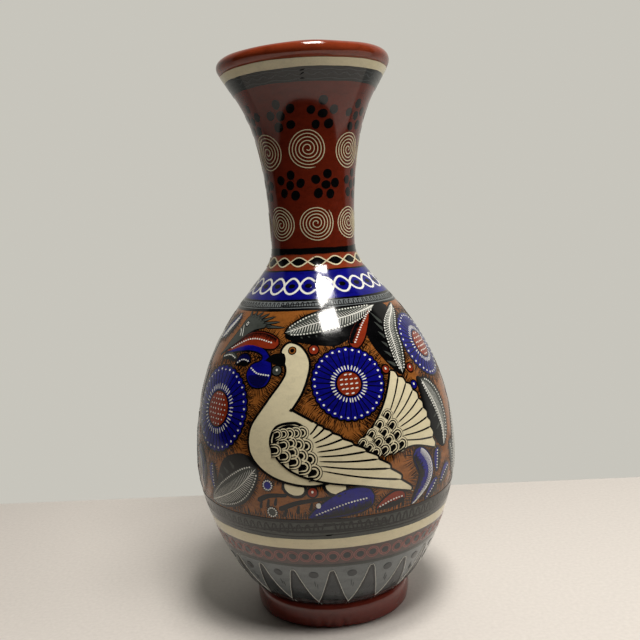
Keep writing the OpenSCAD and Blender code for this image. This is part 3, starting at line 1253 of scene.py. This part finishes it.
    def paisley(self, hand):
        """A blue comma-shaped drop whose tail curls back over the big daisy."""
        comma = smooth([(-37, 182), (-35, 188), (-30, 191), (-31, 195), (-40, 197), (-57, 194), (-57, 194),
                        (-42, 200), (-29, 197), (-24, 186), (-26, 176), (-33, 175)], closed=True)
        hand.hatch(comma, 7.5, 0.85)
        hand.stroke("black", comma, 2.2, EDGE, closed=True)
        hand.fill("blue", comma, FILL)
        shaded = smooth([(-36, 181), (-30, 182), (-25, 181), (-28, 175), (-33, 176)], closed=True)
        hand.fill("navy", shaded, FILL + 0.4)
        for spot in resample(smooth([(-35, 186), (-31, 183), (-25, 182)]), 1.9):
            hand.dot("mist", spot, 0.75, 0.6, DOT, sides=8)

    def front(self, hand):
        """What grows round the bird."""
        self.shade(hand, [(-19, 206), (3, 199), (14, 201), (38, 219), (10, 217)],
                   ((-11, 208), (6, 210)), ((-9, 204), (7, 205)), 5)
        self.fern(hand, [(-19, 208), (-2, 213), (18, 216), (41, 221)], 7.5, 8, bright=-1)
        self.shade(hand, [(52, 221), (32, 217), (27, 200), (39, 176), (45, 192), (50, 206)],
                   ((40, 209), (38, 182)), ((35, 217), (33, 186)), 6)
        self.fern(hand, [(40, 177), (41, 192), (45, 208), (62, 220)], 5, 7)
        self.shade(hand, [(48, 172), (48, 152), (52, 130), (59, 122), (60, 140), (55, 165)],
                   ((56, 160), (59, 139)), ((52, 160), (54, 135)), 4)
        self.fern(hand, [(51, 170), (57, 152), (60, 136), (59, 123)], 11, 3, bright=-1)
        self.shade(hand, [(-51, 106), (-47, 125), (-36, 132), (-28, 125), (-40, 112)],
                   ((-40, 121), (-47, 113)), ((-43, 126), (-50, 116)), 3)
        self.fern(hand, [(-29, 123), (-38, 109), (-47, 101), (-58, 94)], 9, 11)
        self.crest(hand)
        self.drop(hand, [(-22, 201), (-40, 204), (-58, 195)], 10.5, "red", 0.28, dark=-1)
        self.paisley(hand)
        self.drop(hand, [(-70, 203), (-67, 209), (-61, 217)], 9, "blue", 0.45, dark=-1)
        self.drop(hand, [(-37, 190), (-42, 191), (-46, 188)], 7.5, "navy", 0.42)
        self.drop(hand, [(-47, 191), (-53, 193), (-60, 191)], 4, "grey", 0.4)
        self.drop(hand, [(17, 197), (25, 209), (34, 218)], 9.5, "red", 0.3)
        self.drop(hand, [(39, 127), (44, 110), (36, 91)], 14.5, "blue", 0.32, dark=-1, reach=8.5,
                  trim="strokes")
        self.drop(hand, [(53, 123), (52, 116), (51, 108)], 7.5, "blue", 0.4)
        self.drop(hand, [(62, 108), (58, 104), (54, 98)], 8, "blue", 0.4)
        self.drop(hand, [(51, 103), (48, 97), (44, 91)], 8, "blue", 0.42)
        self.drop(hand, [(66, 122), (69, 112), (68, 100)], 9.5, "grey", 0.45)
        self.drop(hand, [(18, 103), (6, 100), (-8, 92)], 17, "blue", 0.32)
        self.drop(hand, [(32, 99), (26, 98), (19, 94)], 9, "red", 0.36)
        self.drop(hand, [(-55, 121), (-55, 112), (-54, 103)], 8.5, "blue", 0.4)
        berries = (((-21, 185), 3, "grey"), ((-3, 197), 3, "red"), ((31, 181), 2.5, "red"),
                   ((46, 179), 2.8, "red"), ((45, 168), 2.6, "blue"), ((-6, 109), 2.9, "red"))
        for centre, size, colour in berries:
            self.berry(hand, centre, size, colour)
        hand.dot("mist", (-4, 100), 1.6, 1.9, DOT)

    def side(self, hand):
        """What fills the sides, between the two painted faces."""
        self.fern(hand, [(87, 146), (92, 172), (102, 208)], 12, 9)
        self.fern(hand, [(80, 144), (76, 122), (71, 96)], 9, 7, bright=-1)
        self.drop(hand, [(104, 202), (108, 209), (117, 218.6)], 10, "blue", 0.4, trim="strokes")
        self.drop(hand, [(84, 204), (87, 211), (95, 218.6)], 9, "red", 0.34)
        self.drop(hand, [(104, 182), (103, 172), (106, 160)], 9, "red", 0.36)
        self.drop(hand, [(110, 128), (115, 116), (113, 100)], 12, "blue", 0.36, trim="strokes")
        self.drop(hand, [(105, 101), (98, 98), (88, 93)], 10, "red", 0.36)
        self.drop(hand, [(80, 96), (84, 101), (86, 110)], 7, "blue", 0.4)
        self.berry(hand, (101, 148), 2.8, "grey")
        self.berry(hand, (108, 139), 2.8)
        self.berry(hand, (80, 152), 2.4, "blue")
        self.berry(hand, (84, 168), 2.4)
        self.berry(hand, (100, 108), 2.4)

    def execute(self, context):
        for name, turn, seed in (("leaf", FACES[0], 8), ("leaf_back", FACES[1], 9)):
            hand = Painter(name, seed)
            hand.turn = turn
            self.front(hand)
            self.side(hand)
            hand.make()
        hand = Painter("grass", 10)
        for angle in np.arange(0, 360, 0.8):
            foot = (angle + hand.vary(-0.3, 0.3), 90)
            tip = (foot[0] + hand.vary(-0.5, 0.5), 90 + hand.vary(3, 9))
            hand.stroke("black", np.linspace(foot, tip, 4), taper(1.1, 0.7), HATCH, crown=0.3)
        hand.make()
        return {"FINISHED"}


# ------------------------------------------------------------------ stage, light and camera

# The camera: its lens in millimetres, its angles in degrees, and its distance from the vase and its height
# above the floor as shares of the vase's height.
LENS = 46.7
PITCH, YAW, ROLL = 6.468, 0.143, 3.399
DISTANCE, EYE_LEVEL = 1.523, 0.7015


class VASE_OT_stage(bpy.types.Operator):
    """Sets the pale floor, the soft lights, the room's light and the camera"""
    bl_idname = "vase.stage"
    bl_label = "Stage"

    def floor(self):
        """A plain pale board, with its far edge a little way behind the vase and its near edge in front."""
        mesh = bpy.data.meshes.new("floor")
        far_left, far_right = (-1.5, 0.335, 0), (1.5, 0.165, 0)
        mesh.from_pydata([(-1.5, -0.45, 0), (1.5, -0.45, 0), far_right, far_left], [], [(0, 1, 2, 3)])
        floor = bpy.data.objects.new("floor", mesh)
        bpy.context.scene.collection.objects.link(floor)
        material = bpy.data.materials.new("pale_foam_board")
        material.use_nodes = True
        tree = material.node_tree
        surface = tree.nodes["Principled BSDF"]
        place = add_node(tree, "ShaderNodeTexCoord")
        tone = add_node(tree, "ShaderNodeTexNoise", {"Vector": place.outputs["Object"], "Scale": per_metre(3),
                                                     "Detail": 3.0})
        ramp = add_node(tree, "ShaderNodeValToRGB", {"Fac": tone.outputs["Fac"]})
        ramp.color_ramp.elements[0].color = linear("#cbc5bf") + (1,)
        ramp.color_ramp.elements[1].color = linear("#dfd9d3") + (1,)
        tree.links.new(ramp.outputs["Color"], surface.inputs["Base Color"])
        surface.inputs["Roughness"].default_value = 0.7
        mesh.materials.append(material)

    def softbox(self, name, place, target, width, height, power):
        light = bpy.data.lights.new(name, "AREA")
        light.shape = "RECTANGLE"
        light.size = width
        light.size_y = height
        light.energy = power
        light.color = linear("#fffbf5")
        lamp = bpy.data.objects.new(name, light)
        lamp.location = place
        lamp.rotation_mode = "QUATERNION"
        lamp.rotation_quaternion = (Vector(target) - Vector(place)).to_track_quat("-Z", "Y")
        bpy.context.scene.collection.objects.link(lamp)
        return lamp

    def room(self):
        """A pale wall behind, dimmer walls at the sides and a dark room in front, which light the vase and
        show in its glaze. The camera itself sees one plain backdrop in their place."""
        world = bpy.data.worlds.new("room")
        bpy.context.scene.world = world
        world.use_nodes = True
        tree = world.node_tree
        background = tree.nodes["Background"]
        way = add_node(tree, "ShaderNodeTexCoord")
        level = add_node(tree, "ShaderNodeVectorMath", {0: way.outputs["Generated"], 1: (1.0, 1.0, 0.0)},
                         operation="MULTIPLY")
        across = add_node(tree, "ShaderNodeVectorMath", {0: level.outputs["Vector"]}, operation="NORMALIZE")
        parts = add_node(tree, "ShaderNodeSeparateXYZ", {"Vector": across.outputs["Vector"]})
        sides = add_node(tree, "ShaderNodeMapRange", {"Value": parts.outputs["Y"],
                                                      "From Min": 0.2, "From Max": 0.3,
                                                      "To Min": 0.015, "To Max": 0.3})
        back = add_node(tree, "ShaderNodeMapRange", {"Value": parts.outputs["Y"],
                                                     "From Min": 0.5, "From Max": 0.8,
                                                     "To Min": 0.0, "To Max": 0.2})
        right = add_node(tree, "ShaderNodeMapRange", {"Value": parts.outputs["X"], "From Min": -1.0,
                                                      "To Min": 0.7, "To Max": 1.3})
        walls = add_node(tree, "ShaderNodeMath", {0: sides.outputs["Result"], 1: back.outputs["Result"]},
                         operation="ADD")
        light = add_node(tree, "ShaderNodeMath", {0: walls.outputs["Value"], 1: right.outputs["Result"]},
                         operation="MULTIPLY")
        seen = add_node(tree, "ShaderNodeLightPath")
        strength = add_node(tree, "ShaderNodeMix", {"Factor": seen.outputs["Is Camera Ray"],
                                                    "A": light.outputs["Value"], "B": 0.6}, data_type="FLOAT")
        tree.links.new(strength.outputs["Result"], background.inputs["Strength"])
        background.inputs["Color"].default_value = linear("#faf7ec") + (1,)

    def camera(self):
        """A hand-held camera level with the shoulder of the vase, tipped down and rolled by a few degrees."""
        data = bpy.data.cameras.new("camera")
        data.sensor_width = 36
        data.lens = LENS
        camera = bpy.data.objects.new("camera", data)
        bpy.context.scene.collection.objects.link(camera)
        pitch, yaw, roll = math.radians(PITCH), math.radians(YAW), math.radians(ROLL)
        ahead = Vector((math.sin(yaw) * math.cos(pitch), math.cos(yaw) * math.cos(pitch), -math.sin(pitch)))
        right = Vector((math.cos(yaw), -math.sin(yaw), 0))
        up = right.cross(ahead)
        level_right = right * math.cos(roll) - up * math.sin(roll)
        level_up = up * math.cos(roll) + right * math.sin(roll)
        turn = Matrix((level_right, level_up, -ahead)).transposed().to_4x4()
        place = (0, -(DISTANCE * LIP_Z * MM), EYE_LEVEL * LIP_Z * MM)
        camera.matrix_world = Matrix.Translation(place) @ turn
        bpy.context.scene.camera = camera

    def execute(self, context):
        context.scene.view_settings.view_transform = "Standard"
        self.floor()
        self.room()
        self.softbox("high_softbox", (0.16, -0.24, 1.32), (0, 0, 0.22), 0.32, 0.2, 8.5)
        self.softbox("front_softbox", (0.19, -0.50, 1.24), (0, 0, 0.22), 0.34, 0.2, 8.5)
        # Light that the right-hand wall throws back. It is too soft to show as a shape in the glaze.
        bounce = self.softbox("right_bounce", (1.2, -0.1, 0.55), (0, 0, 0.1), 1.0, 0.9, 6)
        bounce.visible_glossy = False
        self.camera()
        return {"FINISHED"}


# ------------------------------------------------------------------ panel and registration

STEPS = (VASE_OT_walls, VASE_OT_lip, VASE_OT_foot, VASE_OT_inside, VASE_OT_bands, VASE_OT_neck_painting,
         VASE_OT_collar_painting, VASE_OT_lower_painting, VASE_OT_leaves, VASE_OT_flowers, VASE_OT_doves,
         VASE_OT_stage)


class VASE_PT_panel(bpy.types.Panel):
    """Lists the sizes, the colours and the steps of the vase"""
    bl_idname = "VASE_PT_panel"
    bl_label = "Slip-painted vase"
    bl_space_type = "VIEW_3D"
    bl_region_type = "UI"
    bl_category = "Vase"

    def draw(self, context):
        for group in (context.scene.vase_sizes, context.scene.vase_colours):
            box = self.layout.box()
            for name in group.__annotations__:
                box.prop(group, name)
        for step in STEPS:
            self.layout.operator(step.bl_idname)


CLASSES = (VaseSizes, VaseColours) + STEPS + (VASE_PT_panel,)


def register():
    for cls in CLASSES:
        bpy.utils.register_class(cls)
    bpy.types.Scene.vase_sizes = bpy.props.PointerProperty(type=VaseSizes)
    bpy.types.Scene.vase_colours = bpy.props.PointerProperty(type=VaseColours)


def unregister():
    del bpy.types.Scene.vase_colours
    del bpy.types.Scene.vase_sizes
    for cls in reversed(CLASSES):
        bpy.utils.unregister_class(cls)


def main():
    register()
    for step in STEPS:
        area, name = step.bl_idname.split(".")
        getattr(getattr(bpy.ops, area), name)()


if __name__ == "__main__":
    main()
